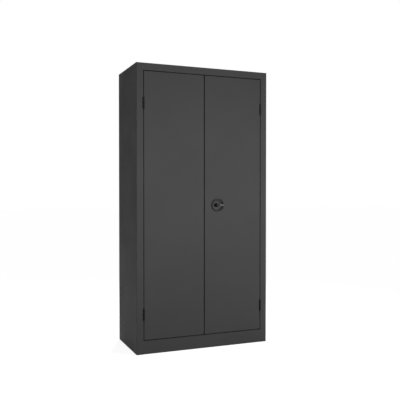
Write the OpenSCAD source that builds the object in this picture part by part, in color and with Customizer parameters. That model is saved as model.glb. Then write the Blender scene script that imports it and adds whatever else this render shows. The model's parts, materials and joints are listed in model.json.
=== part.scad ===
// Tall two-door tool cabinet in folded sheet steel, with slotted uprights, lift-out shelves,
// a rack-and-pinion rod lock in the right door and two slide bolts in the left door.
// Millimetres. +Z is up, the doors face -Y, and +X is on the viewer's right.

/* [Body] */
// Height over all
body_h = 1950; // [1700:10:2100]
// Width over all
body_w = 975; // [800:5:1200]
// Depth of the body, without the handle
body_d = 465; // [380:5:600]
// Thickness of the steel sheet
sheet_t = 1.2; // [0.8:0.1:1.5]
// Inside radius of each fold
bend_r = 1; // [0.6:0.1:1.5]
// Width of the stile beside each door
stile_w = 48; // [44:1:70]
// Height of the header above the doors
header_h = 48; // [44:1:90]
// Height of the plinth below the doors
plinth_h = 91; // [70:1:130]
// Depth of the step that the doors close into
reveal_d = 28; // [27.5:0.1:30]
// Width of the lip that the doors stop against
stop_lip = 14; // [12:1:18]
// Width of the flange folded round the back
back_flange = 18; // [12:1:30]
// Height of the rims under the roof and the floor
rim_h = 25; // [15:1:35]
// Width of the foot flange under the plinth
foot_flange = 25; // [15:1:40]
// Side of the corner plates in the base
gusset_side = 70; // [40:1:100]
// Thickness of the corner plates in the base
gusset_t = 3; // [2:0.5:4]
// Radius of the wall anchor holes
anchor_r = 4; // [3:0.5:6]
// Distance between the wall anchor holes
anchor_pitch = 600; // [300:10:700]
// Distance of the wall anchor holes below the top
anchor_drop = 60; // [40:1:100]

/* [Doors] */
// Gap above, below and between the doors
door_gap = 5; // [3:0.1:6]
// Gap beside each door on its hinge side
side_gap = 3.5; // [3:0.1:4]
// Thickness of the doors
door_d = 24; // [23.5:0.1:24.2]
// Width of the lip folded inside each door
door_lip = 15; // [12:1:20]
// Width of the stiffener's raised face
stiffener_w = 60; // [40:1:80]
// Depth of the stiffener
stiffener_d = 16; // [10:1:18]
// Width of each stiffener flange
stiffener_flange = 12; // [8:1:16]
// Free space above and below the stiffener
stiffener_inset = 60; // [30:1:120]
// Radius of the rubber buffers
buffer_r = 5; // [4:0.5:6]
// Distance of the buffers from the middle of the cabinet
buffer_x = 70; // [55:1:100]

/* [Hinges] */
// Height of a hinge
hinge_h = 78; // [60:1:120]
// Distance from the end of the cabinet to the middle of a hinge
hinge_inset = 268; // [180:1:400]
// Radius of the knuckles
knuckle_r = 4.5; // [4.2:0.1:5]
// Radius of the hinge pin
pin_r = 2.5; // [2:0.1:3]
// Radius of the head of the hinge pin
pin_head_r = 4; // [3.5:0.1:4.2]
// Thickness of the hinge leaves
leaf_t = 1.5; // [1.2:0.1:2]
// Width of the hinge leaves
leaf_w = 20; // [14:1:22]
// Space between the knuckles
knuckle_gap = 0.4; // [0.3:0.1:0.8]
// Space behind, above and below the knuckles in their notch
notch_gap = 0.6; // [0.5:0.1:1]
// Space beside the knuckles in their notch
notch_side = 3; // [0.6:0.1:4]

/* [Shelves] */
// Distance between the slots
slot_pitch = 50; // [40:5:60]
// Width of a slot
slot_w = 3; // [2.8:0.1:4]
// Height of a slot
slot_h = 14; // [12:1:18]
// Slots from one shelf to the next
shelf_steps = 7; // [5:1:7]
// Width of the slotted face of an upright
upright_w = 30; // [24:1:40]
// Depth of an upright
upright_d = 12; // [10:1:16]
// Width of an upright's welding flanges
upright_foot = 10; // [8:1:14]
// Distance from the door front to the front uprights
upright_front = 50; // [45:1:80]
// Distance from the back panel to the rear uprights
upright_back = 30; // [10:1:60]
// Height of a shelf
shelf_h = 30; // [24:1:40]
// Width of the lip under a shelf
shelf_lip = 14; // [10:1:20]
// Distance from the door front to the shelves
shelf_front = 38; // [37:1:42]
// Thickness of a shelf clip
clip_t = 2.4; // [2:0.1:2.6]
// Reach of a shelf clip under the shelf
clip_reach = 13; // [10:1:14]
// Height of a shelf clip's tongue
clip_h = 5; // [4:0.5:6]

/* [Handle] */
// Distance from the middle of the cabinet to the handle
handle_x = 104; // [100:1:130]
// Height of the handle above the floor
handle_z = 997; // [900:1:1100]
// Radius of the rosette
rosette_r = 46; // [45.5:0.1:48]
// Radius of the part of the rosette that goes through the door
rosette_cup_r = 40; // [39:0.1:41]
// How far the rosette's rim stands out of the door
rosette_rim = 6; // [5:0.5:8]
// How far the rosette's floor lies behind the door front
rosette_recess = 5; // [3:0.5:5.5]
// Wall thickness of the rosette
rosette_wall = 1.6; // [1.4:0.1:2]
// How far the handle stands out of the door
handle_out = 17; // [16:0.5:20]
// Reach of the lever from the spindle
lever_len = 41; // [36:0.5:41.5]
// Width of the lever's tip
lever_tip = 14; // [10:0.5:16]
// Thickness of the lever at the hub
lever_t = 10; // [8:0.5:11]
// Slope of the lever's front towards its tip, in degrees
lever_slope = 6; // [3:0.5:7]
// Radius of the lever's crowned front
lever_crown_r = 14; // [10:0.5:20]
// Radius of the hub
hub_r = 15; // [14.5:0.5:17]
// Rounding of the hub's front edge
hub_round = 3; // [1:0.5:3]
// Radius of the lock cylinder
cylinder_r = 10; // [9:0.5:10.5]
// Radius of the plug in the lock cylinder
plug_r = 6.5; // [5.5:0.1:7]
// How far the lock cylinder stands out of the hub
cylinder_out = 2; // [1:0.5:3]
// Width of the keyway
keyway_w = 1.6; // [1.2:0.1:2.2]

/* [Lock] */
// Side of the square spindle
spindle_side = 8; // [7:0.5:8]
// Radius of the journal that turns in the rosette
journal_r = 7; // [6.5:0.1:7.5]
// Tooth module of the pinion
gear_module = 2; // [1.8:0.1:2]
// Number of teeth on the pinion
gear_teeth = 12; // [12:1:13]
// Width of the pinion and the racks
gear_w = 8; // [7:0.5:8]
// Pressure angle of the teeth
pressure_angle = 25; // [24:0.5:27]
// Play between the teeth
backlash = 0.3; // [0.2:0.05:0.5]
// Thickness of a rack behind its teeth
rack_back = 8; // [8:0.5:9]
// Radius of the lock rods and slide bolts
rod_r = 4.5; // [4:0.1:4.5]
// Width of the lock case inside
case_w = 100; // [98:1:110]
// Height of the lock case
case_h = 110; // [90:1:140]
// Width of the lock case's fixing flanges
case_flange = 14; // [12:1:18]
// Radius of the studs that hold the lock case
stud_r = 2; // [1.5:0.1:2.5]
// How far the latch tongue reaches behind the left door
tongue_grip = 12; // [9:1:15]
// Width of the latch tongue
tongue_w = 24; // [22:1:28]
// Thickness of the latch tongue
tongue_t = 2.5; // [2:0.1:3]
// Distance from the middle of the cabinet to the left door's bolts
bolt_x = 42; // [36:1:60]
// Length of a slide bolt
bolt_len = 130; // [125:1:200]
// Travel of a slide bolt, from one lug to the other
bolt_travel = 16; // [12:0.5:18]
// Bevel on the ends of the rods and bolts
rod_bevel = 1.5; // [0.5:0.1:2]
// Height of the collar that stops a slide bolt at its lugs
bolt_collar = 50; // [30:1:60]
// Distance from a door's end to the nearer lug of its bolt
bolt_lug_drop = 22; // [20:1:30]
// Thickness of a guide lug
lug_t = 5; // [4:0.5:6]

/* [Fits] */
// Radial play of everything that turns or slides in a bore
running_fit = 0.06; // [0.04:0.01:0.1]
// Space between pieces that move past each other
play = 0.3; // [0.3:0.05:0.5]
// Space round the rods where they pass through sheet
rod_hole_gap = 1.5; // [1:0.1:2]

/* [Hidden] */
$fn = 64;
eps = 0.01;

// Folded sheet
bend_mid_r = bend_r + sheet_t / 2;
bend_out_r = bend_r + sheet_t;

// The door front lies at y = 0 while a piece is drawn, and front_y in the finished model
front_y = (handle_out - body_d) / 2;
back_y = body_d - 2 * sheet_t;
opening_half = body_w / 2 - stile_w;
opening_top = body_h - header_h;
rail_half = opening_half + bend_out_r;

// Doors
door_w = opening_half - side_gap - door_gap / 2;
door_h = opening_top - plinth_h - 2 * door_gap;
door_near = door_gap / 2;
door_mid_x = door_near + door_w / 2;
door_mid_z = (opening_top + plinth_h) / 2;
door_top = opening_top - door_gap;
door_base = plinth_h + door_gap;

// Hinges
hinge_x = opening_half - side_gap / 2;
knuckle_h = (hinge_h - 2 * knuckle_gap) / 3;
notch_r = knuckle_r + notch_gap;
notch_half = knuckle_r + notch_side;
pin_head_t = 1.5;
notch_h = hinge_h + 2 * (notch_gap + pin_head_t);
hinge_zs = [body_h - hinge_inset, hinge_inset];

// Uprights, shelves and clips
upright_z0 = plinth_h;
upright_z1 = body_h - rim_h;
upright_span = upright_w + 2 * upright_foot;
front_upright_y = upright_front + upright_span / 2;
rear_upright_y = back_y - upright_back - upright_span / 2;
slot_zs = [for (z = [plinth_h + slot_pitch : slot_pitch : upright_z1 - slot_pitch]) z];
slot_face_x = body_w / 2 - sheet_t - upright_d;
shelf_half = slot_face_x - 1.5;
shelf_d = back_y - shelf_front - 3;
shelf_rib_w = 40;

// Lock, with the spindle at x = handle_x, z = handle_z
pitch_r = gear_module * gear_teeth / 2;
addendum = gear_module;
dedendum = 1.25 * gear_module;
outer_r = pitch_r + addendum;
root_r = pitch_r - dedendum;
base_r = pitch_r * cos(pressure_angle);
tooth_pitch = PI * gear_module;
rod_travel = pitch_r * PI / 2;
rack_reach = 2 * tooth_pitch;
rack_root_x = pitch_r + dedendum;
rod_off = rack_root_x + rack_back / 2;
lug_half_w = rod_r + 2.5;
case_rear_y = door_d - sheet_t - 3;
case_t = 1.2;
gear_y1 = case_rear_y - 0.8;
gear_y0 = gear_y1 - gear_w;
rod_line_y = (gear_y0 + gear_y1) / 2;
rosette_boss_r = 10.5;
rosette_boss_y = gear_y0 - 0.8;
tongue_y = door_d + 2 * play;
spindle_y1 = tongue_y + tongue_t;
spindle_y0 = -1;
hub_front_y = -(handle_out - cylinder_out);
cylinder_back_y = spindle_y0 - 1.5;
cylinder_bevel = 0.8;
lever_front_y = hub_front_y + 1;
lever_back_y = hub_front_y + lever_t;
bowl_flat_r = hub_r + 1;
bowl_end_r = lever_len + 2;
bowl_sag = rosette_recess + rosette_rim;
bowl_r = (pow(bowl_end_r - bowl_flat_r, 2) + bowl_sag * bowl_sag) / (2 * bowl_sag);
tongue_len = handle_x + tongue_grip;
washer_t = 1.2;
washer_r = 8;
screw_head_t = 3.2;
screw_r = 2.4;
stud_end = 13;
stud_zs = [stud_end - case_h / 2, case_h / 2 - stud_end];
stud_len = 6;
bolt_lugs = bolt_travel + bolt_collar + lug_t + 2 * play;
spigot_r = 2.5;
spigot_len = 10;
rack_top = rack_reach + spigot_len + 2;
guide_t = 6;
guide_tail = 30;

paint = [0.27, 0.27, 0.275];
inner_paint = [0.33, 0.33, 0.335];
zinc = [0.66, 0.67, 0.68];
dark_steel = [0.16, 0.16, 0.165];
black_plastic = [0.1, 0.1, 0.105];
rubber_black = [0.06, 0.06, 0.06];

// ---------- Shared shapes ----------

// Moves a piece from the drawing position into the finished frame
module place() {
    translate([0, front_y, 0])
        children();
}

// Direction of the straight run between two corners of a path
function run_dir(a, b) = (b - a) / norm(b - a);

// Straight run of folded sheet in section
module sheet_run(from, to, dir) {
    translate([min(from.x, to.x) - abs(dir.y) * sheet_t / 2, min(from.y, to.y) - abs(dir.x) * sheet_t / 2])
        square([abs(to.x - from.x) + abs(dir.y) * sheet_t, abs(to.y - from.y) + abs(dir.x) * sheet_t]);
}

// Quarter bend of folded sheet in section, where a run along into turns to out
module sheet_bend(corner, into, out) {
    reach = (into - out) * (bend_out_r + eps);
    translate(corner + (out - into) * bend_mid_r)
        intersection() {
            difference() {
                circle(bend_out_r);
                circle(bend_r);
            }
            translate([min(0, reach.x), min(0, reach.y)])
                square([abs(reach.x), abs(reach.y)]);
        }
}

// Section of a folded sheet: the path holds the square corners of its middle line
module folded_section(path) {
    last = len(path) - 1;
    for (i = [0 : last - 1]) {
        dir = run_dir(path[i], path[i + 1]);
        start_cut = i == 0 ? 0 : bend_mid_r;
        end_cut = i == last - 1 ? 0 : bend_mid_r;
        sheet_run(path[i] + dir * start_cut, path[i + 1] - dir * end_cut, dir);
    }
    for (i = [1 : last - 1])
        sheet_bend(path[i], run_dir(path[i - 1], path[i]), run_dir(path[i], path[i + 1]));
}

// Section turned into a rail along X: section x becomes y, section y becomes z
module rail_along_x(half_len) {
    rotate([90, 0, 90])
        linear_extrude(2 * half_len, center = true)
            children();
}

// Rectangle hanging from y = 0 with both upper corners rounded
module round_top_section(w, d, r) {
    translate([-w / 2, -d])
        square([w, d - r]);
    translate([r - w / 2, -d])
        square([w - 2 * r, d]);
    for (side = [-1, 1])
        translate([side * (w / 2 - r), -r])
            circle(r);
}

// Block whose four upper edges are rounded, with its top at z = 0
module round_top_block(w, l, d, r) {
    intersection() {
        rotate([90, 0, 0])
            linear_extrude(l, center = true)
                round_top_section(w, d, r);
        rotate([90, 0, 90])
            linear_extrude(w, center = true)
                round_top_section(l, d, r);
    }
}

// Folded sheet tray, open below, with a lip turned in along the rims; its top is at z = 0
module tray(w, l, d, lip) {
    difference() {
        round_top_block(w, l, d, bend_out_r);
        translate([0, 0, -sheet_t])
            round_top_block(w - 2 * sheet_t, l - 2 * sheet_t, d - (lip > 0 ? 2 : 0) * sheet_t, bend_r);
        cube_mid([w - 2 * max(lip, sheet_t), l - 2 * max(lip, sheet_t), d + eps], -d - eps, -sheet_t);
    }
}

// Box centred on x = y = 0 between two heights
module cube_mid(size, z0, z1) {
    translate([-size.x / 2, -size.y / 2, z0])
        cube([size.x, size.y, z1 - z0]);
}

// Cylinder along +Y between two depths
module rod_y(r, y0, y1) {
    translate([0, y0, 0])
        rotate([-90, 0, 0])
            cylinder(r = r, h = y1 - y0);
}

// Upright cylinder whose upper end is bevelled, standing at z = 0
module bevelled_rod(r, h, bevel) {
    cylinder(r = r, h = h - bevel);
    translate([0, 0, h - bevel])
        cylinder(r1 = r, r2 = r - bevel, h = bevel);
}

// Square bar along +Y between two depths
module bar_y(side, y0, y1) {
    translate([-side / 2, y0, -side / 2])
        cube([side, y1 - y0, side]);
}

// Flat outline in x and z, given as children, made into a plate between two depths
module plate_y(y0, y1) {
    translate([0, y1, 0])
        rotate([90, 0, 0])
            linear_extrude(y1 - y0)
                children();
}

// ---------- Body ----------

// Left side, stile, door step and stop lip folded from one sheet
module side_panel() {
    half_t = sheet_t / 2;
    path = [
        [back_flange - body_w / 2, body_d - half_t],
        [half_t - body_w / 2, body_d - half_t],
        [half_t - body_w / 2, half_t],
        [-opening_half - half_t, half_t],
        [-opening_half - half_t, reveal_d - half_t],
        [stop_lip - opening_half, reveal_d - half_t]
    ];
    difference() {
        linear_extrude(body_h)
            folded_section(path);
        for (span = [[-eps, plinth_h], [opening_top, body_h + eps]])
            translate([-rail_half, -eps, span[0]])
                cube([stile_w, reveal_d + 2 * eps, span[1] - span[0]]);
        for (z = hinge_zs)
            translate([-hinge_x - notch_half, -eps, z - notch_h / 2])
                cube([2 * notch_half, notch_r + eps, notch_h]);
    }
}

module left_side_panel() {
    color(paint)
        place()
            side_panel();
}

module right_side_panel() {
    color(paint)
        place()
            mirror([1, 0, 0])
                side_panel();
}

module back_panel() {
    half = body_w / 2 - bend_out_r - play;
    color(inner_paint)
        place()
            difference() {
                translate([-half, back_y, 0])
                    cube([2 * half, sheet_t, body_h]);
                for (side = [-1, 1])
                    translate([side * anchor_pitch / 2, 0, body_h - anchor_drop])
                        rod_y(anchor_r, back_y - eps, back_y + sheet_t + eps);
            }
}

// Roof tray between the sides, relieved at the corners where the sides fold
module roof_panel() {
    w = body_w - 2 * sheet_t;
    l = back_y - sheet_t;
    color(paint)
        place()
            translate([0, sheet_t + l / 2, body_h])
                difference() {
                    tray(w, l, rim_h, 0);
                    for (side = [-1, 1])
                        translate([side * w / 2, -l / 2, -rim_h - eps])
                            cylinder(r = bend_r + 0.4, h = rim_h + 2 * eps);
                }
}

// Cuts a rail's lip back to the space between the lips of the sides
module lip_end_cuts(z0, z1) {
    for (side = [-1, 1])
        translate([side * (opening_half - stop_lip + rail_half), reveal_d / 2, (z0 + z1) / 2])
            cube([2 * rail_half, reveal_d + 2 * sheet_t, z1 - z0], center = true);
}

// Hole in a rail's step that a rod or bolt shoots into
module keeper_hole(x, z) {
    translate([x, rod_line_y, z])
        cylinder(r = rod_r + rod_hole_gap, h = 4 * sheet_t, center = true);
}

module header_rail() {
    half_t = sheet_t / 2;
    path = [
        [half_t, body_h],
        [half_t, opening_top + half_t],
        [reveal_d - half_t, opening_top + half_t],
        [reveal_d - half_t, opening_top - stop_lip]
    ];
    color(paint)
        place()
            difference() {
                rail_along_x(rail_half)
                    folded_section(path);
                lip_end_cuts(opening_top - 2 * stop_lip, opening_top);
                keeper_hole(handle_x - rod_off, opening_top);
                keeper_hole(-bolt_x, opening_top);
            }
}

module plinth_rail() {
    half_t = sheet_t / 2;
    path = [
        [foot_flange, half_t],
        [half_t, half_t],
        [half_t, plinth_h - half_t],
        [reveal_d - half_t, plinth_h - half_t],
        [reveal_d - half_t, plinth_h + stop_lip]
    ];
    color(paint)
        place()
            difference() {
                rail_along_x(rail_half)
                    folded_section(path);
                lip_end_cuts(plinth_h, plinth_h + 2 * stop_lip);
                keeper_hole(handle_x + rod_off, plinth_h);
                keeper_hole(-bolt_x, plinth_h);
            }
}

module floor_panel() {
    front = reveal_d - bend_r;
    l = back_y - front;
    color(inner_paint)
        place()
            translate([0, front + l / 2, plinth_h])
                tray(body_w - 2 * sheet_t, l, rim_h, 0);
}

// Channel that closes the base in front of the back panel
module rear_base_rail() {
    half_t = sheet_t / 2;
    rear = back_y - half_t;
    path = [
        [rear - foot_flange, half_t],
        [rear, half_t],
        [rear, plinth_h - rim_h - half_t],
        [rear - foot_flange, plinth_h - rim_h - half_t]
    ];
    color(paint)
        place()
            rail_along_x(body_w / 2 - sheet_t)
                folded_section(path);
}

// Corner plates welded on the foot flanges
module base_gussets() {
    corner_x = body_w / 2 - sheet_t;
    color(zinc)
        place()
            for (side = [-1, 1])
                for (end = [[sheet_t + bend_r, 1], [back_y - sheet_t - bend_r, -1]])
                    translate([side * corner_x, end[0], sheet_t])
                        linear_extrude(gusset_t)
                            polygon([
                                [0, end[1] * bend_r],
                                [-side * gusset_side, end[1] * bend_r],
                                [-side * gusset_side, end[1] * 10],
                                [-side * 10, end[1] * gusset_side],
                                [0, end[1] * gusset_side]
                            ]);
}

// ---------- Uprights, shelves and clips ----------

// Slotted hat section on the left side, standing at the given depth
module upright(y) {
    half_t = sheet_t / 2;
    wall_x = sheet_t - body_w / 2;
    half_w = upright_w / 2;
    path = [
        [wall_x + half_t, y - half_w - upright_foot],
        [wall_x + half_t, y - half_w + half_t],
        [wall_x + upright_d - half_t, y - half_w + half_t],
        [wall_x + upright_d - half_t, y + half_w - half_t],
        [wall_x + half_t, y + half_w - half_t],
        [wall_x + half_t, y + half_w + upright_foot]
    ];
    difference() {
        translate([0, 0, upright_z0])
            linear_extrude(upright_z1 - upright_z0)
                folded_section(path);
        for (z = slot_zs)
            translate([wall_x + upright_d - sheet_t / 2, y, z])
                cube([3 * sheet_t, slot_w, slot_h], center = true);
    }
}

module front_left_upright() {
    color(zinc)
        place()
            upright(front_upright_y);
}

module front_right_upright() {
    color(zinc)
        place()
            mirror([1, 0, 0])
                upright(front_upright_y);
}

module rear_left_upright() {
    color(zinc)
        place()
            upright(rear_upright_y);
}

module rear_right_upright() {
    color(zinc)
        place()
            mirror([1, 0, 0])
                upright(rear_upright_y);
}

// Height of the clips' bearing face under a shelf
function clip_z(level) = plinth_h + level * shelf_steps * slot_pitch;

// Folded shelf with a lip all round and a hat-shaped rib underneath
module shelf(level) {
    half_t = sheet_t / 2;
    rib = [
        [-shelf_rib_w / 2 - shelf_lip, -half_t],
        [-shelf_rib_w / 2, -half_t],
        [-shelf_rib_w / 2, half_t - shelf_h / 2],
        [shelf_rib_w / 2, half_t - shelf_h / 2],
        [shelf_rib_w / 2, -half_t],
        [shelf_rib_w / 2 + shelf_lip, -half_t]
    ];
    color(inner_paint)
        place()
            translate([0, shelf_front + shelf_d / 2, clip_z(level) + shelf_h]) {
                tray(2 * shelf_half, shelf_d, shelf_h, shelf_lip);
                translate([0, 0, eps - sheet_t])
                    rail_along_x(shelf_half - sheet_t + eps)
                        folded_section(rib);
            }
}

// Hooked clip in the slot of the left front upright at z = 0
module shelf_clip(y) {
    face_x = -slot_face_x;
    hook_x = face_x - sheet_t - play;
    slot_low = -slot_h / 2 + play;
    color(zinc)
        translate([0, y + clip_t / 2, 0])
            rotate([90, 0, 0])
                linear_extrude(clip_t)
                    polygon([
                        [hook_x - 2, -slot_h],
                        [hook_x, -slot_h],
                        [hook_x, slot_low],
                        [face_x + play, slot_low],
                        [face_x + play + clip_reach / 2, slot_low],
                        [face_x + clip_reach, -clip_h / 2],
                        [face_x + clip_reach, 0],
                        [hook_x - 2, 0]
                    ]);
}

module shelf_clips() {
    place()
        for (level = [1 : 4])
            for (flip = [0, 1])
                for (y = [front_upright_y, rear_upright_y])
                    mirror([flip, 0, 0])
                        translate([0, 0, clip_z(level)])
                            shelf_clip(y);
}

module shelf_1() { shelf(1); }
module shelf_2() { shelf(2); }
module shelf_3() { shelf(3); }
module shelf_4() { shelf(4); }

// Rubber pads on the header's and plinth's lips, near the free edge of each door
module door_buffers() {
    color(rubber_black)
        place()
            for (side = [-1, 1])
                for (z = [opening_top - stop_lip / 2, plinth_h + stop_lip / 2])
                    translate([side * buffer_x, 0, z])
                        rod_y(buffer_r, door_d + play, reveal_d - sheet_t);
}

// ---------- Hinges, drawn on the left and mirrored for the right ----------

// Knuckle between two heights, measured from the middle of the hinge
module knuckle(z0, z1) {
    translate([0, 0, z0])
        cylinder(r = knuckle_r, h = z1 - z0);
}

// Leaf plate behind a fold, with a strap out to its knuckles; side is -1 on the frame
module leaf_plate(side, knuckles) {
    inner = side_gap / 2 + sheet_t;
    x0 = side > 0 ? inner : -inner - leaf_t;
    translate([x0, notch_r + play, -hinge_h / 2])
        cube([leaf_t, leaf_w - notch_r, hinge_h]);
    for (k = knuckles)
        translate([x0, 0, k[0]])
            cube([leaf_t, notch_r + 2 * play, k[1] - k[0]]);
}

outer_knuckles = [[-hinge_h / 2, knuckle_h - hinge_h / 2], [hinge_h / 2 - knuckle_h, hinge_h / 2]];
middle_knuckle = [[-knuckle_h / 2, knuckle_h / 2]];

// One hinge leaf with its knuckles bored for the pin
module hinge_leaf(side, knuckles) {
    difference() {
        union() {
            for (k = knuckles)
                knuckle(k[0], k[1]);
            leaf_plate(side, knuckles);
        }
        cylinder(r = pin_r + running_fit, h = 2 * hinge_h, center = true);
    }
}

// Puts a hinge piece at the left or right hinge line and at the upper or lower height
module at_hinge(right, level) {
    color(dark_steel)
        place()
            mirror([right, 0, 0])
                translate([-hinge_x, 0, hinge_zs[level]])
                    children();
}

module left_upper_frame_leaf() { at_hinge(0, 0) hinge_leaf(-1, outer_knuckles); }
module left_lower_frame_leaf() { at_hinge(0, 1) hinge_leaf(-1, outer_knuckles); }
module right_upper_frame_leaf() { at_hinge(1, 0) hinge_leaf(-1, outer_knuckles); }
module right_lower_frame_leaf() { at_hinge(1, 1) hinge_leaf(-1, outer_knuckles); }
module left_upper_door_leaf() { at_hinge(0, 0) hinge_leaf(1, middle_knuckle); }
module left_lower_door_leaf() { at_hinge(0, 1) hinge_leaf(1, middle_knuckle); }
module right_upper_door_leaf() { at_hinge(1, 0) hinge_leaf(1, middle_knuckle); }
module right_lower_door_leaf() { at_hinge(1, 1) hinge_leaf(1, middle_knuckle); }

module hinge_pins() {
    for (right = [0, 1])
        for (level = [0, 1])
            at_hinge(right, level) {
                cylinder(r = pin_r, h = hinge_h, center = true);
                translate([0, 0, hinge_h / 2])
                    cylinder(r = pin_head_r, h = pin_head_t);
            }
}

// ---------- Doors ----------

// Left door tray with its hinge notches, before the holes that it has for its fittings
module door_shell() {
    difference() {
        translate([-door_mid_x, 0, door_mid_z])
            rotate([90, 0, 0])
                tray(door_w, door_h, door_d, door_lip);
        for (z = hinge_zs)
            translate([-hinge_x - notch_half, -eps, z - notch_h / 2])
                cube([2 * notch_half, notch_r + eps, notch_h]);
    }
}

// Hole through a door's rim for a rod or bolt
module rim_hole(x, z) {
    translate([x, rod_line_y, z])
        cylinder(r = rod_r + rod_hole_gap / 2, h = 6 * sheet_t, center = true);
}

module left_door() {
    color(paint)
        place()
            difference() {
                door_shell();
                rim_hole(-bolt_x, door_top);
                rim_hole(-bolt_x, door_base);
            }
}

module right_door() {
    color(paint)
        place()
            difference() {
                mirror([1, 0, 0])
                    door_shell();
                translate([handle_x, 0, handle_z])
                    rod_y(rosette_cup_r + play, -eps, sheet_t + eps);
                rim_hole(handle_x - rod_off, door_top);
                rim_hole(handle_x + rod_off, door_base);
            }
}

// Hat section welded inside a door
module door_stiffener(x) {
    half_t = sheet_t / 2;
    half_w = stiffener_w / 2;
    skin = sheet_t;
    path = [
        [x - half_w - stiffener_flange, skin + half_t],
        [x - half_w, skin + half_t],
        [x - half_w, skin + stiffener_d - half_t],
        [x + half_w, skin + stiffener_d - half_t],
        [x + half_w, skin + half_t],
        [x + half_w + stiffener_flange, skin + half_t]
    ];
    color(inner_paint)
        place()
            translate([0, 0, door_base + stiffener_inset])
                linear_extrude(door_h - 2 * stiffener_inset)
                    folded_section(path);
}

module left_door_stiffener() { door_stiffener(-door_mid_x - stiffener_w / 2); }
module right_door_stiffener() { door_stiffener(door_mid_x + stiffener_w / 2); }

// ---------- Left door bolts, drawn shooting up and mirrored for the lower one ----------

// Lug with a bored eye for a rod, standing on the door skin
module rod_lug() {
    difference() {
        union() {
            translate([-lug_half_w, sheet_t, -lug_t / 2])
                cube([2 * lug_half_w, rod_line_y - sheet_t, lug_t]);
            translate([0, rod_line_y, 0])
                cylinder(r = lug_half_w, h = lug_t, center = true);
        }
        translate([0, rod_line_y, 0])
            cylinder(r = rod_r + running_fit, h = 2 * lug_t, center = true);
    }
}

// Base plate with a rod lug at each end; z = 0 is the top of the bolt
module bolt_housing() {
    translate([-lug_half_w, sheet_t, -bolt_lug_drop - bolt_lugs - lug_t / 2])
        cube([2 * lug_half_w, 2, bolt_lugs + lug_t]);
    for (z = [-bolt_lug_drop, -bolt_lug_drop - bolt_lugs])
        translate([0, 0, z])
            rod_lug();
}

// Bolt with a collar that rests on the lower lug, and a finger knob
module slide_bolt() {
    collar_z = -bolt_lug_drop - bolt_lugs + lug_t / 2 + play;
    translate([0, rod_line_y, -bolt_len])
        bevelled_rod(rod_r, bolt_len, rod_bevel);
    translate([0, rod_line_y, collar_z])
        cylinder(r = rod_r + 2, h = bolt_collar);
    translate([0, 0, collar_z + bolt_collar / 2]) {
        rod_y(3, rod_line_y, door_d + 2);
        rod_y(6, door_d + 2, door_d + 8);
    }
}

// Puts a bolt piece at the top or bottom of the left door
module at_bolt(down) {
    place()
        translate([-bolt_x, 0, down ? door_base : door_top])
            mirror([0, 0, down])
                children();
}

module upper_bolt_housing() { color(zinc) at_bolt(0) bolt_housing(); }
module lower_bolt_housing() { color(zinc) at_bolt(1) bolt_housing(); }
module upper_bolt() { color(zinc) at_bolt(0) slide_bolt(); }
module lower_bolt() { color(zinc) at_bolt(1) slide_bolt(); }

// ---------- Lock ----------

// Puts a lock piece on the spindle's line
module at_lock() {
    place()
        translate([handle_x, 0, handle_z])
            children();
}

// Involute function of an angle, in degrees
function involute_deg(a) = tan(a) * 180 / PI - a;

// Half the angle that a pinion tooth fills at radius r
tooth_half_deg = (PI * gear_module / 2 - backlash) / (2 * pitch_r) * 180 / PI;
function flank_deg(r) =
    tooth_half_deg + involute_deg(pressure_angle) - involute_deg(acos(min(1, base_r / r)));

function polar(r, a) = [r * cos(a), r * sin(a)];

flank_steps = 5;
flank_rs = [for (i = [0 : flank_steps]) base_r + (outer_r - base_r) * i / flank_steps];

// Outline of the pinion, tooth by tooth
function pinion_points() = [
    for (k = [0 : gear_teeth - 1])
        let (mid = k * 360 / gear_teeth)
            each concat(
                [polar(root_r, mid - flank_deg(base_r))],
                [for (r = flank_rs) polar(r, mid - flank_deg(r))],
                [for (i = [flank_steps : -1 : 0]) polar(flank_rs[i], mid + flank_deg(flank_rs[i]))],
                [polar(root_r, mid + flank_deg(base_r))]
            )
];

// Pinion with a journal on its rear face and a square hole for the spindle
module drive_pinion() {
    color(zinc)
        at_lock()
            difference() {
                union() {
                    plate_y(gear_y0, gear_y1)
                        polygon(pinion_points());
                    rod_y(root_r - 1, gear_y1 - eps, case_rear_y + case_t + play);
                }
                bar_y(spindle_side + 2 * running_fit, gear_y0 - eps, case_rear_y + case_t + 1);
            }
}

// Rack outline for the left of the pinion, where the rack rises as the handle turns
function rack_points() =
    let (
        half = tooth_pitch / 4 - backlash / 2,
        tip = half - addendum * tan(pressure_angle),
        root = half + dedendum * tan(pressure_angle),
        low = -ceil((rod_travel + rack_reach) / tooth_pitch),
        high = 1,
        back_x = -rack_root_x - rack_back
    )
    concat(
        [[back_x, (low - 0.5) * tooth_pitch], [-rack_root_x, (low - 0.5) * tooth_pitch]],
        [for (k = [low : high]) let (z = (k + 0.5) * tooth_pitch) each [
            [-rack_root_x, z - root],
            [addendum - pitch_r, z - tip],
            [addendum - pitch_r, z + tip],
            [-rack_root_x, z + root]
        ]],
        [[-rack_root_x, rack_top], [back_x, rack_top]]
    );

module rack() {
    color(zinc)
        difference() {
            plate_y(gear_y0, gear_y1)
                polygon(rack_points());
            translate([-rod_off, rod_line_y, rack_top - spigot_len])
                cylinder(r = spigot_r + running_fit, h = spigot_len + eps);
        }
}

// Round rod with a spigot in the end of its rack; len is the reach above the spindle
module lock_rod(len) {
    color(zinc)
        translate([-rod_off, rod_line_y, rack_top]) {
            bevelled_rod(rod_r, len - rack_top, rod_bevel);
            translate([0, 0, play - spigot_len])
                cylinder(r = spigot_r, h = spigot_len);
        }
}

module upper_rack() { at_lock() rack(); }
module lower_rack() { at_lock() rotate([0, 180, 0]) rack(); }
module upper_rod() { at_lock() lock_rod(door_top - handle_z); }
module lower_rod() { at_lock() rotate([0, 180, 0]) lock_rod(handle_z - door_base); }

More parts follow.
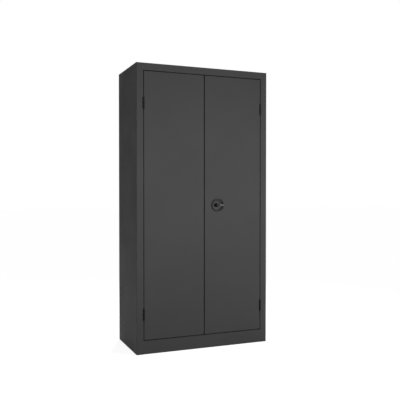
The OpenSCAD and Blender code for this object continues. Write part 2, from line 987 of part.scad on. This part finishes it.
// Guides that carry the rods near the top and the bottom of the door
guide_inset = 60;
module upper_rod_guide() {
    color(black_plastic)
        place()
            translate([handle_x - rod_off, 0, door_top - guide_inset])
                rod_lug();
}

module lower_rod_guide() {
    color(black_plastic)
        place()
            translate([handle_x + rod_off, 0, door_base + guide_inset])
                rod_lug();
}

// Section of the rosette's bowl in front of its wall, in radius and depth
module bowl_section() {
    translate([0, -2 * rosette_rim])
        square([bowl_flat_r, rosette_recess + 2 * rosette_rim]);
    intersection() {
        translate([bowl_flat_r, rosette_recess - bowl_r])
            circle(bowl_r);
        translate([bowl_flat_r - eps, -2 * rosette_rim])
            square([bowl_r, rosette_recess + 3 * rosette_rim]);
    }
}

// Dished rosette: rim on the door front, bowl through the door, bored boss behind
module rosette() {
    bore_r = journal_r + running_fit;
    color(black_plastic)
        at_lock()
            rotate([-90, 0, 0])
                rotate_extrude()
                    difference() {
                        polygon([
                            [bore_r, -rosette_rim],
                            [rosette_r - 1.5, -rosette_rim],
                            [rosette_r, -rosette_rim + 2],
                            [rosette_r, 0],
                            [rosette_cup_r, 0],
                            [rosette_cup_r, sheet_t + 2 + play],
                            [bowl_flat_r + 12, rosette_recess + rosette_wall],
                            [rosette_boss_r, rosette_recess + rosette_wall],
                            [rosette_boss_r, rosette_boss_y],
                            [bore_r, rosette_boss_y]
                        ]);
                        bowl_section();
                    }
}

// Ring pressed over the rosette's cup behind the door skin
module rosette_retainer() {
    color(zinc)
        at_lock()
            difference() {
                rod_y(rosette_r, sheet_t, sheet_t + 2);
                rod_y(rosette_cup_r + 0.1, 0, sheet_t + 3);
            }
}

// Hat-shaped lock case over the gear
module lock_case() {
    half_t = sheet_t / 2;
    half_w = case_w / 2;
    path = [
        [-half_w - case_flange, sheet_t + half_t],
        [-half_w, sheet_t + half_t],
        [-half_w, case_rear_y + half_t],
        [half_w, case_rear_y + half_t],
        [half_w, sheet_t + half_t],
        [half_w + case_flange, sheet_t + half_t]
    ];
    color(zinc)
        at_lock()
            difference() {
                translate([0, 0, -case_h / 2])
                    linear_extrude(case_h)
                        folded_section(path);
                rod_y(root_r - 1 + running_fit, case_rear_y - 1, case_rear_y + 2 * case_t);
                at_studs()
                    rod_y(stud_r + 0.2, 0, 3 * sheet_t);
            }
}

module at_studs() {
    for (side = [-1, 1])
        for (z = stud_zs)
            translate([side * (case_w + case_flange) / 2, 0, z])
                children();
}

// Studs welded to the inside of the door skin
module lock_studs() {
    color(zinc)
        at_lock()
            at_studs()
                rod_y(stud_r, sheet_t, sheet_t + stud_len);
}

module lock_nuts() {
    color(zinc)
        at_lock()
            at_studs()
                difference() {
                    translate([0, 2 * sheet_t, 0])
                        rotate([-90, 0, 0])
                            cylinder(r = 2 * stud_r, h = 1.6 * stud_r, $fn = 6);
                    rod_y(stud_r + running_fit, 0, 10);
                }
}

// Blocks that back the racks, fixed to the rear wall of the case, clear of the thicker rods
module rack_guides() {
    color(black_plastic)
        at_lock()
            for (turn = [0, 180])
                rotate([0, turn, 0])
                    translate([-rack_root_x - rack_back - play - guide_t, gear_y0, -guide_tail])
                        cube([guide_t, case_rear_y - gear_y0, guide_tail + rack_top - 2 * play]);
}

// Section of the hub, in radius and depth, with its front edge rounded
module hub_section() {
    depth = rosette_recess - play - hub_front_y;
    translate([0, hub_front_y]) {
        square([hub_r - hub_round, depth]);
        translate([0, hub_round])
            square([hub_r, depth - hub_round]);
        translate([hub_r - hub_round, hub_round])
            circle(hub_round);
    }
}

// Outline of the lever from the front
module lever_outline() {
    root = lever_tip / 2 + 1.5;
    polygon([
        [0, -root],
        [lever_len - 3, -lever_tip / 2],
        [lever_len, 3 - lever_tip / 2],
        [lever_len, lever_tip / 2 - 3],
        [lever_len - 3, lever_tip / 2],
        [0, root]
    ]);
}

// Lever that slopes back to its tip and is crowned across its front
module lever() {
    tip_y = lever_front_y + lever_len * tan(lever_slope);
    intersection() {
        plate_y(lever_front_y - 1, lever_back_y + 1)
            lever_outline();
        linear_extrude(2 * hub_r, center = true)
            polygon([
                [0, lever_front_y],
                [lever_len + 1, tip_y],
                [lever_len + 1, lever_back_y - 1.2],
                [lever_len - 8, lever_back_y],
                [0, lever_back_y]
            ]);
        translate([0, lever_front_y, 0])
            rotate([0, 0, lever_slope])
                translate([-hub_r, lever_crown_r, 0])
                    rotate([0, 90, 0])
                        cylinder(r = lever_crown_r, h = lever_len + 2 * hub_r);
    }
}

// Lever, hub and journal in one piece
module turn_handle() {
    color(black_plastic)
        at_lock()
            difference() {
                union() {
                    rotate([-90, 0, 0])
                        rotate_extrude()
                            hub_section();
                    rod_y(journal_r, rosette_recess - play - eps, rosette_boss_y);
                    lever();
                }
                rod_y(cylinder_r + 0.1, hub_front_y - eps, cylinder_back_y);
                bar_y(spindle_side + 2 * running_fit, spindle_y0 - play, rosette_boss_y + eps);
            }
}

// Lock cylinder seated in the hub
module lock_cylinder() {
    color("silver")
        at_lock()
            difference() {
                translate([0, cylinder_back_y, 0])
                    rotate([90, 0, 0])
                        bevelled_rod(cylinder_r, handle_out + cylinder_back_y, cylinder_bevel);
                rod_y(plug_r + running_fit, -handle_out - eps, cylinder_back_y - 2);
            }
}

// Turning plug with its keyway
module lock_plug() {
    color("gainsboro")
        at_lock()
            difference() {
                rod_y(plug_r, 0.5 - handle_out, cylinder_back_y - 2 - play);
                translate([-keyway_w / 2, -handle_out, 0.4 - plug_r])
                    cube([keyway_w, 8, 1.3 * plug_r]);
            }
}

// Square spindle, bored for the screw that holds the tongue
module spindle() {
    color(zinc)
        at_lock()
            difference() {
                bar_y(spindle_side, spindle_y0, spindle_y1);
                rod_y(screw_r + 0.1, spindle_y1 - 14, spindle_y1 + eps);
            }
}

// Tongue hanging from the spindle; it swings behind the left door as the handle turns
module latch_tongue() {
    boss_r = tongue_w / 2 - 2;
    color(zinc)
        at_lock()
            difference() {
                union() {
                    plate_y(tongue_y, tongue_y + tongue_t) {
                        circle(tongue_w / 2);
                        translate([-tongue_w / 2, -tongue_len + 5])
                            square([tongue_w, tongue_len - 5]);
                        translate([5 - tongue_w / 2, -tongue_len])
                            square([tongue_w - 10, 10]);
                        for (side = [-1, 1])
                            translate([side * (tongue_w / 2 - 5), 5 - tongue_len])
                                circle(5);
                    }
                    rod_y(boss_r, case_rear_y + case_t + 2 * play, tongue_y + eps);
                }
                bar_y(spindle_side + 2 * running_fit, 0, spindle_y1 + 1);
            }
}

module tongue_washer() {
    color(zinc)
        at_lock()
            difference() {
                rod_y(washer_r, spindle_y1, spindle_y1 + washer_t);
                rod_y(screw_r + 0.2, spindle_y1 - 1, spindle_y1 + 2 * washer_t);
            }
}

module tongue_screw() {
    head_y = spindle_y1 + washer_t;
    color(zinc)
        at_lock() {
            rod_y(screw_r, spindle_y1 - 12, head_y + eps);
            translate([0, head_y, 0])
                rotate([-90, 0, 0])
                    cylinder(r = 5.8, h = screw_head_t, $fn = 6);
        }
}

left_side_panel();
right_side_panel();
back_panel();
roof_panel();
header_rail();
floor_panel();
plinth_rail();
rear_base_rail();
base_gussets();
front_left_upright();
front_right_upright();
rear_left_upright();
rear_right_upright();
shelf_1();
shelf_2();
shelf_3();
shelf_4();
shelf_clips();
door_buffers();
left_upper_frame_leaf();
left_lower_frame_leaf();
right_upper_frame_leaf();
right_lower_frame_leaf();
hinge_pins();
left_door();
left_door_stiffener();
left_upper_door_leaf();
left_lower_door_leaf();
upper_bolt_housing();
lower_bolt_housing();
upper_bolt();
lower_bolt();
right_door();
right_door_stiffener();
right_upper_door_leaf();
right_lower_door_leaf();
rosette();
rosette_retainer();
lock_case();
lock_studs();
lock_nuts();
rack_guides();
upper_rod_guide();
lower_rod_guide();
turn_handle();
lock_cylinder();
lock_plug();
spindle();
drive_pinion();
latch_tongue();
tongue_washer();
tongue_screw();
upper_rack();
upper_rod();
lower_rack();
lower_rod();
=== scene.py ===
# Looks of the tall two-door tool cabinet: finishes, small details, studio, light and camera.
# Metres, in the same frame as the CAD: +Z up, doors facing -Y, +X on the viewer's right.
import json
import math

import bmesh
import bpy
from mathutils import Matrix, Vector


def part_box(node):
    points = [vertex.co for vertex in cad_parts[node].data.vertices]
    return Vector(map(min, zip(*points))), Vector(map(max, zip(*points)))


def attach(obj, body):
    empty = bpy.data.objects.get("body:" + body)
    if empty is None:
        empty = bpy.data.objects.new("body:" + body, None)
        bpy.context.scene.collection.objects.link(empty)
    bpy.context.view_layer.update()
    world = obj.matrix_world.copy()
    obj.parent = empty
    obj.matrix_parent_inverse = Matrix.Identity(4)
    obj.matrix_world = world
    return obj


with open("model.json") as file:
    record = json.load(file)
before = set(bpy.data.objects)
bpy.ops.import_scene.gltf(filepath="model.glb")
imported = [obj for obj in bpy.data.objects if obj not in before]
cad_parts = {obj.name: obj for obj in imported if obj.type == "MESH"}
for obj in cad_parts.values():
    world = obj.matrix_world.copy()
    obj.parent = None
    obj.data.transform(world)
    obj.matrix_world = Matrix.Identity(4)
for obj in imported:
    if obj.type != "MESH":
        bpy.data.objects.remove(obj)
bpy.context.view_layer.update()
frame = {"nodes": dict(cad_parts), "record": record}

MM = 0.001

# ---------- Colours, linear ----------

PAINT = (0.058, 0.058, 0.058)
PAINT_WORN = (0.105, 0.105, 0.105)
BLACK_PLASTIC = (0.014, 0.014, 0.0145)
ROSETTE_PLASTIC = (0.024, 0.024, 0.0245)
# The turn handle's plastic is paler than the other black plastic: a painted highlight on its lever.
HANDLE_PLASTIC_LIT = (0.026, 0.026, 0.027)
# Near-black for the hinges: their own black steel, made darker still as painted shade round the hinge
# knuckles.
BLACK_STEEL_AND_SHADE = (0.006, 0.006, 0.0065)
ZINC = (0.4, 0.405, 0.42)
BLACK_NICKEL = (0.022, 0.022, 0.023)
RUBBER = (0.016, 0.016, 0.016)
FLOOR = (0.80, 0.80, 0.80)
WHITE = (1.0, 1.0, 1.0)

# ---------- Materials ----------


def shade(colour, factor):
    """The colour made lighter, or darker where the factor is under 1."""
    return tuple(c * factor for c in colour)


def math_node(tree, operation, first, second):
    """ADD or MULTIPLY of a socket and another socket or a number. A sum is held between 0 and 1."""
    node = tree.nodes.new("ShaderNodeMath")
    node.operation = operation
    node.use_clamp = operation == "ADD"
    tree.links.new(first, node.inputs[0])
    if isinstance(second, float):
        node.inputs[1].default_value = second
    else:
        tree.links.new(second, node.inputs[1])
    return node.outputs["Value"]


class Shader:
    """A Principled material with helpers for the nodes that feed it."""

    def __init__(self, name, roughness, metallic=0.0, specular=0.5):
        self.material = bpy.data.materials.new(name)
        self.material.use_nodes = True
        self.tree = self.material.node_tree
        self.nodes = self.tree.nodes
        self.main = self.nodes["Principled BSDF"]
        self.main.inputs["Roughness"].default_value = roughness
        self.main.inputs["Metallic"].default_value = metallic
        self.main.inputs["Specular IOR Level"].default_value = specular
        self.place = self.nodes.new("ShaderNodeTexCoord").outputs["Object"]

    def link(self, out, into):
        self.tree.links.new(out, into)

    def noise(self, scale, detail, stretch=None):
        """Noise with about `scale` features to the metre, longer on the axes where stretch is small."""
        node = self.nodes.new("ShaderNodeTexNoise")
        node.inputs["Scale"].default_value = scale
        node.inputs["Detail"].default_value = detail
        place = self.place
        if stretch:
            mapping = self.nodes.new("ShaderNodeMapping")
            mapping.inputs["Scale"].default_value = stretch
            self.link(place, mapping.inputs["Vector"])
            place = mapping.outputs["Vector"]
        self.link(place, node.inputs["Vector"])
        return node.outputs["Fac"]

    def spread(self, value, low, high, from_low=0.3, from_high=0.7):
        """Maps a value onto the range low to high. Noise lies mostly between 0.3 and 0.7."""
        node = self.nodes.new("ShaderNodeMapRange")
        node.inputs["From Min"].default_value = from_low
        node.inputs["From Max"].default_value = from_high
        node.inputs["To Min"].default_value = low
        node.inputs["To Max"].default_value = high
        self.link(value, node.inputs["Value"])
        return node.outputs["Result"]

    def edge_mask(self, radius, bite):
        """1 on sharp edges within about radius, 0 on the flat. The smaller the bite, the wider the mask."""
        bevel = self.nodes.new("ShaderNodeBevel")
        bevel.samples = 6
        bevel.inputs["Radius"].default_value = radius
        geometry = self.nodes.new("ShaderNodeNewGeometry")
        dot = self.nodes.new("ShaderNodeVectorMath")
        dot.operation = "DOT_PRODUCT"
        self.link(bevel.outputs["Normal"], dot.inputs[0])
        self.link(geometry.outputs["Normal"], dot.inputs[1])
        return self.spread(dot.outputs["Value"], low=1.0, high=0.0, from_low=1.0 - bite, from_high=1.0)

    def worn_edges(self, radius, bite, patches):
        """The edge mask, broken up by a patchy value."""
        return math_node(self.tree, "MULTIPLY", self.edge_mask(radius, bite), patches)

    def tint(self, base, other, mask):
        """Colour that goes from base to other with the mask."""
        node = self.nodes.new("ShaderNodeMix")
        node.data_type = "RGBA"
        node.inputs["A"].default_value = (*base, 1)
        node.inputs["B"].default_value = (*other, 1)
        self.link(mask, node.inputs["Factor"])
        self.link(node.outputs["Result"], self.main.inputs["Base Color"])

    def vary_roughness(self, noise, low, high):
        """Roughness that wanders between low and high with the noise."""
        self.link(self.spread(noise, low, high), self.main.inputs["Roughness"])

    def bump(self, height, distance, strength):
        """Fine relief from a height value."""
        node = self.nodes.new("ShaderNodeBump")
        node.inputs["Distance"].default_value = distance
        node.inputs["Strength"].default_value = strength
        self.link(height, node.inputs["Height"])
        self.link(node.outputs["Normal"], self.main.inputs["Normal"])


def powder_coat(name, colour, worn):
    """Dark powder coat: fine orange peel, slow tone changes, edges a little rubbed."""
    s = Shader(name, roughness=0.62, specular=0.04)
    clouds = s.spread(s.noise(scale=2.3, detail=3.0), low=0.0, high=0.10)
    specks = s.spread(s.noise(scale=900.0, detail=1.0), low=0.0, high=0.12)
    patches = s.spread(s.noise(scale=60.0, detail=4.0), low=0.1, high=0.9)
    rubbed = s.worn_edges(radius=1.3 * MM, bite=0.35, patches=patches)
    mask = math_node(s.tree, "ADD", clouds, rubbed)
    s.tint(colour, worn, math_node(s.tree, "ADD", mask, specks))
    s.vary_roughness(s.noise(scale=5.0, detail=4.0), low=0.58, high=0.68)
    s.bump(s.noise(scale=520.0, detail=2.0), distance=0.06 * MM, strength=0.5)
    return s.material


def moulded_plastic(name, colour, roughness, specular):
    """Black plastic with a fine spark-eroded grain, paler where its edges are rubbed."""
    s = Shader(name, roughness=roughness, specular=specular)
    patches = s.spread(s.noise(scale=90.0, detail=3.0), low=0.2, high=1.0)
    s.tint(colour, shade(colour, 2.6), s.worn_edges(radius=0.8 * MM, bite=0.3, patches=patches))
    s.vary_roughness(s.noise(scale=30.0, detail=3.0), low=roughness - 0.06, high=roughness + 0.08)
    s.bump(s.noise(scale=2400.0, detail=1.0), distance=0.03 * MM, strength=0.5)
    return s.material


def plated_steel(name, colour, roughness, stretch):
    """Zinc plate or black nickel, with drawn or rolled streaks."""
    s = Shader(name, roughness=roughness, metallic=1.0)
    clouds = s.spread(s.noise(scale=24.0, detail=4.0), low=0.0, high=0.8)
    s.tint(colour, shade(colour, 0.72), clouds)
    streaks = s.noise(scale=45.0, detail=3.0, stretch=stretch)
    s.vary_roughness(streaks, low=roughness - 0.07, high=roughness + 0.12)
    s.bump(s.noise(scale=700.0, detail=2.0, stretch=stretch), distance=0.02 * MM, strength=0.4)
    return s.material


def black_steel_and_shade(name, colour):
    """Near-black hinge steel, partly its own blackening and partly painted shade round the knuckles; paler
    where its edges are rubbed.
    """
    s = Shader(name, roughness=0.38, specular=0.12)
    patches = s.spread(s.noise(scale=160.0, detail=3.0), low=0.0, high=1.0)
    s.tint(colour, shade(colour, 3.0), s.worn_edges(radius=0.7 * MM, bite=0.3, patches=patches))
    s.vary_roughness(s.noise(scale=70.0, detail=3.0), low=0.3, high=0.48)
    s.bump(s.noise(scale=1500.0, detail=2.0), distance=0.02 * MM, strength=0.5)
    return s.material


def rubber(name, colour):
    """Dull black rubber with a patchy bloom."""
    s = Shader(name, roughness=0.8, specular=0.3)
    bloom = s.spread(s.noise(scale=120.0, detail=4.0), low=0.0, high=1.0)
    s.tint(colour, shade(colour, 2.0), bloom)
    s.bump(s.noise(scale=1800.0, detail=2.0), distance=0.05 * MM, strength=0.6)
    return s.material


finishes = {
    "cabinet_paint": powder_coat("cabinet_paint", PAINT, PAINT_WORN),
    "inner_paint": powder_coat("inner_paint", PAINT, PAINT_WORN),
    "zinc_steel": plated_steel("zinc_steel", ZINC, roughness=0.34, stretch=(1, 1, 0.08)),
    "hinge_steel": black_steel_and_shade("hinge_steel", BLACK_STEEL_AND_SHADE),
    "black_plastic": moulded_plastic("black_plastic", BLACK_PLASTIC, roughness=0.42, specular=0.35),
    "lock_chrome": plated_steel("lock_chrome", BLACK_NICKEL, roughness=0.3, stretch=(1, 0.2, 1)),
    "rubber": rubber("rubber", RUBBER),
}
slot_of = {part["node"]: part["material_slot"] for part in frame["record"]["subparts"]}
finish_of = {name: finishes[slot_of[name]] for name in frame["nodes"]}
finish_of["rosette"] = moulded_plastic("rosette_plastic", ROSETTE_PLASTIC, roughness=0.5, specular=0.25)
# The turn handle gets the paler plastic, which paints the lever's highlight into its colour.
finish_of["turn_handle"] = moulded_plastic("handle_plastic_lit", HANDLE_PLASTIC_LIT, roughness=0.4, specular=0.35)
for name, node in frame["nodes"].items():
    node.data.materials.clear()
    node.data.materials.append(finish_of[name])

# ---------- Spot welds and rivets ----------

SHEET = 1.2 * MM  # thickness of the folded steel
SUNK = 0.3 * MM  # how far a weld or rivet reaches below the surface it sits on
REARWARD = (0, 1, 0)

# A weld's loops from the rim inwards: share of its radius, height in millimetres.
WELD_RADIUS = 3.2 * MM
WELD_PROFILE = ((1.0, 0.0), (0.88, 0.16), (0.76, 0.18), (0.62, 0.06), (0.3, 0.03))

# A rivet's groove round the mandrel and the mandrel's end: share of its radius, share of its rise.
RIVET_RADIUS = 2.8 * MM
RIVET_RISE = 1.1 * MM
MANDREL_PROFILE = ((0.34, 0.7), (0.3, 0.98))

# Welds stand about a pitch apart. Vertical rows stop a margin short of both ends of their piece, and
# the back's level rows reach the same distance to both sides of the middle.
STIFFENER_PITCH = 0.12
UPRIGHT_PITCH = 0.15
BACK_PITCH = 0.11
END_MARGIN = 30 * MM
BACK_REACH = 0.44

# From an edge to the middle of a stiffener's flange, and of an upright's foot.
FLANGE_MIDDLE = 6 * MM
FOOT_MIDDLE = 5 * MM

# From each end of a bolt's housing to its rivet, and the thickness of the housing's plate.
RIVET_INSET = 16 * MM
HOUSING_PLATE = 2 * MM


def add_object(name, data):
    """A new object of the scene, with its mesh, lamp or camera."""
    thing = bpy.data.objects.new(name, data)
    bpy.context.scene.collection.objects.link(thing)
    return thing


def closed_loops(bm, turn, loops, sides):
    """A closed shell through round loops, each given as (radius, height)."""
    angles = [2 * math.pi * k / sides for k in range(sides)]
    rings = []
    for radius, height in loops:
        points = [Vector((radius * math.cos(a), radius * math.sin(a), height)) for a in angles]
        rings.append([bm.verts.new(turn @ point) for point in points])
    for low, high in zip(rings, rings[1:]):
        for k in range(sides):
            n = (k + 1) % sides
            bm.faces.new((low[k], low[n], high[n], high[k]))
    bm.faces.new(reversed(rings[0]))
    bm.faces.new(rings[-1])


def spot_weld(bm, turn):
    """The shallow crater with a raised rim that a welding electrode leaves under the paint."""
    loops = [(WELD_RADIUS, -SUNK)]
    loops += [(share * WELD_RADIUS, height * MM) for share, height in WELD_PROFILE]
    closed_loops(bm, turn, loops, sides=20)


def rivet(bm, turn):
    """Pop rivet: a low domed head with the broken mandrel in its middle."""
    dome = [math.radians(degrees) for degrees in range(0, 70, 12)]
    loops = [(RIVET_RADIUS, -SUNK)]
    loops += [(RIVET_RADIUS * math.cos(a), RIVET_RISE * math.sin(a)) for a in dome]
    loops += [(share * RIVET_RADIUS, rise * RIVET_RISE) for share, rise in MANDREL_PROFILE]
    closed_loops(bm, turn, loops, sides=24)


def row(first, last, pitch):
    """Evenly spaced values from first to last, about a pitch apart."""
    count = max(1, round((last - first) / pitch))
    return [first + (last - first) * k / count for k in range(count + 1)]


def repeated(name, shape, places, facing, body, slot):
    """One piece with the small shape at every place, standing out along facing."""
    bm = bmesh.new()
    turn = Vector((0, 0, 1)).rotation_difference(Vector(facing)).to_matrix().to_4x4()
    for place in places:
        shape(bm, Matrix.Translation(place) @ turn)
    mesh = bpy.data.meshes.new(name)
    bm.to_mesh(mesh)
    bm.free()
    mesh.shade_smooth()
    mesh.materials.append(finishes[slot])
    piece = add_object(name, mesh)
    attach(piece, body)


def stiffener_welds(side):
    """Welds that hold the stiffener's two flanges to the door's skin."""
    low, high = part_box(side + "_door_stiffener")
    columns = (low.x + FLANGE_MIDDLE, high.x - FLANGE_MIDDLE)
    heights = row(low.z + END_MARGIN, high.z - END_MARGIN, STIFFENER_PITCH)
    places = [(x, low.y + SHEET, z) for x in columns for z in heights]
    repeated(side + "_door_welds", spot_weld, places, REARWARD, side + "_door", "inner_paint")


def upright_welds(side, inward):
    """Welds that hold the uprights' feet to the side's wall. Inward is +1 or -1, along X."""
    places = []
    for end in ("front", "rear"):
        low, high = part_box(end + "_" + side + "_upright")
        wall = low.x if inward > 0 else high.x
        columns = (low.y + FOOT_MIDDLE, high.y - FOOT_MIDDLE)
        heights = row(low.z + END_MARGIN, high.z - END_MARGIN, UPRIGHT_PITCH)
        places += [(wall + inward * SHEET, y, z) for y in columns for z in heights]
    repeated(side + "_upright_welds", spot_weld, places, (inward, 0, 0), "cabinet", "inner_paint")


def back_welds():
    """Welds that hold the back to the rims of the roof, the floor and the base rail behind it."""
    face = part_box("back_panel")[1].y
    places = []
    for rim in ("roof_panel", "floor_panel", "rear_base_rail"):
        low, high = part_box(rim)
        middle = (low.z + high.z) / 2
        places += [(x, face, middle) for x in row(-BACK_REACH, BACK_REACH, BACK_PITCH)]
    repeated("back_welds", spot_weld, places, REARWARD, "cabinet", "inner_paint")


def bolt_rivets(level):
    """Two rivets through the plate of a bolt's housing."""
    low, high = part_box(level + "_bolt_housing")
    middle = (low.x + high.x) / 2
    heights = (low.z + RIVET_INSET, high.z - RIVET_INSET)
    places = [(middle, low.y + HOUSING_PLATE, z) for z in heights]
    repeated(level + "_bolt_rivets", rivet, places, REARWARD, "left_door", "zinc_steel")


for side, inward in (("left", 1), ("right", -1)):
    stiffener_welds(side)
    upright_welds(side, inward)
back_welds()
for level in ("upper", "lower"):
    bolt_rivets(level)

# ---------- Studio ----------


def rays_that_see_white(tree):
    """1 for the rays that show the background: camera, glossy and transmission."""
    path = tree.nodes.new("ShaderNodeLightPath")
    total = path.outputs["Is Camera Ray"]
    for other in ("Is Glossy Ray", "Is Transmission Ray"):
        total = math_node(tree, "ADD", total, path.outputs[other])
    return total


def make_world(ambient):
    """White to the rays that show the background, soft light of strength ambient to the others."""
    world = bpy.data.worlds.new("studio")
    bpy.context.scene.world = world
    world.use_nodes = True
    tree = world.node_tree
    soft = tree.nodes["Background"]
    soft.inputs["Strength"].default_value = ambient
    soft.inputs["Color"].default_value = (*WHITE, 1)
    white = tree.nodes.new("ShaderNodeBackground")
    white.inputs["Color"].default_value = (*WHITE, 1)
    mix = tree.nodes.new("ShaderNodeMixShader")
    tree.links.new(rays_that_see_white(tree), mix.inputs["Fac"])
    tree.links.new(soft.outputs["Background"], mix.inputs[1])
    tree.links.new(white.outputs["Background"], mix.inputs[2])
    tree.links.new(mix.outputs["Shader"], tree.nodes["World Output"].inputs["Surface"])


def floor_material(glow):
    """Pale matt, with a glow for the rays that show the background."""
    material = bpy.data.materials.new("studio_floor")
    material.use_nodes = True
    tree = material.node_tree
    tree.nodes.remove(tree.nodes["Principled BSDF"])
    matt = tree.nodes.new("ShaderNodeBsdfDiffuse")
    matt.inputs["Color"].default_value = (*FLOOR, 1)
    light = tree.nodes.new("ShaderNodeEmission")
    strength = math_node(tree, "MULTIPLY", rays_that_see_white(tree), glow)
    tree.links.new(strength, light.inputs["Strength"])
    both = tree.nodes.new("ShaderNodeAddShader")
    tree.links.new(matt.outputs["BSDF"], both.inputs[0])
    tree.links.new(light.outputs["Emission"], both.inputs[1])
    tree.links.new(both.outputs["Shader"], tree.nodes["Material Output"].inputs["Surface"])
    return material


def make_floor(size, glow):
    """Pale floor: its lit part reads as white, its shadow stays."""
    mesh = bpy.data.meshes.new("studio_floor")
    half = size / 2
    corners = [(-half, -half, 0), (half, -half, 0), (half, half, 0), (-half, half, 0)]
    mesh.from_pydata(corners, [], [(0, 1, 2, 3)])
    mesh.materials.append(floor_material(glow))
    add_object("studio_floor", mesh)


def area_light(name, place, target, width, height, watts, spread):
    """A rectangular lamp aimed at the target, with its beam narrowed to spread degrees."""
    data = bpy.data.lights.new(name, "AREA")
    data.shape = "RECTANGLE"
    data.size = width
    data.size_y = height
    data.energy = watts
    data.spread = math.radians(spread)
    lamp = add_object(name, data)
    lamp.location = place
    lamp.rotation_euler = (Vector(target) - lamp.location).to_track_quat("-Z", "Y").to_euler()


def make_camera(place, yaw, pitch, lens):
    """The photograph's camera, fitted to the corners of the cabinet and its doors. Angles in degrees."""
    data = bpy.data.cameras.new("photo_camera")
    data.sensor_width = 36.0
    data.lens = lens
    camera = add_object("photo_camera", data)
    camera.location = place
    camera.rotation_euler = (math.pi / 2 + math.radians(pitch), 0.0, -math.radians(yaw))
    bpy.context.scene.camera = camera


make_world(ambient=0.17)
make_floor(size=60.0, glow=0.856)
area_light(
    "key", place=(5.4, -5.0, 1.3), target=(-1.1, 0, 1.17),
    width=1.1, height=0.9, watts=30.2, spread=37.5,
)
area_light(
    "left_fill", place=(-1.8, 0.0, 0.12), target=(-0.49, 0, 0.25),
    width=0.9, height=0.2, watts=1.2, spread=160.0,
)
area_light(
    "back_fill", place=(2.2, 4.5, 3.4), target=(0, 0.24, 1.2),
    width=1.6, height=1.2, watts=45.0, spread=60.0,
)
make_camera(place=(-1.566, -3.982, 1.101), yaw=22.204, pitch=-0.951, lens=52.69)

scene = bpy.context.scene
scene.view_settings.view_transform = "Standard"
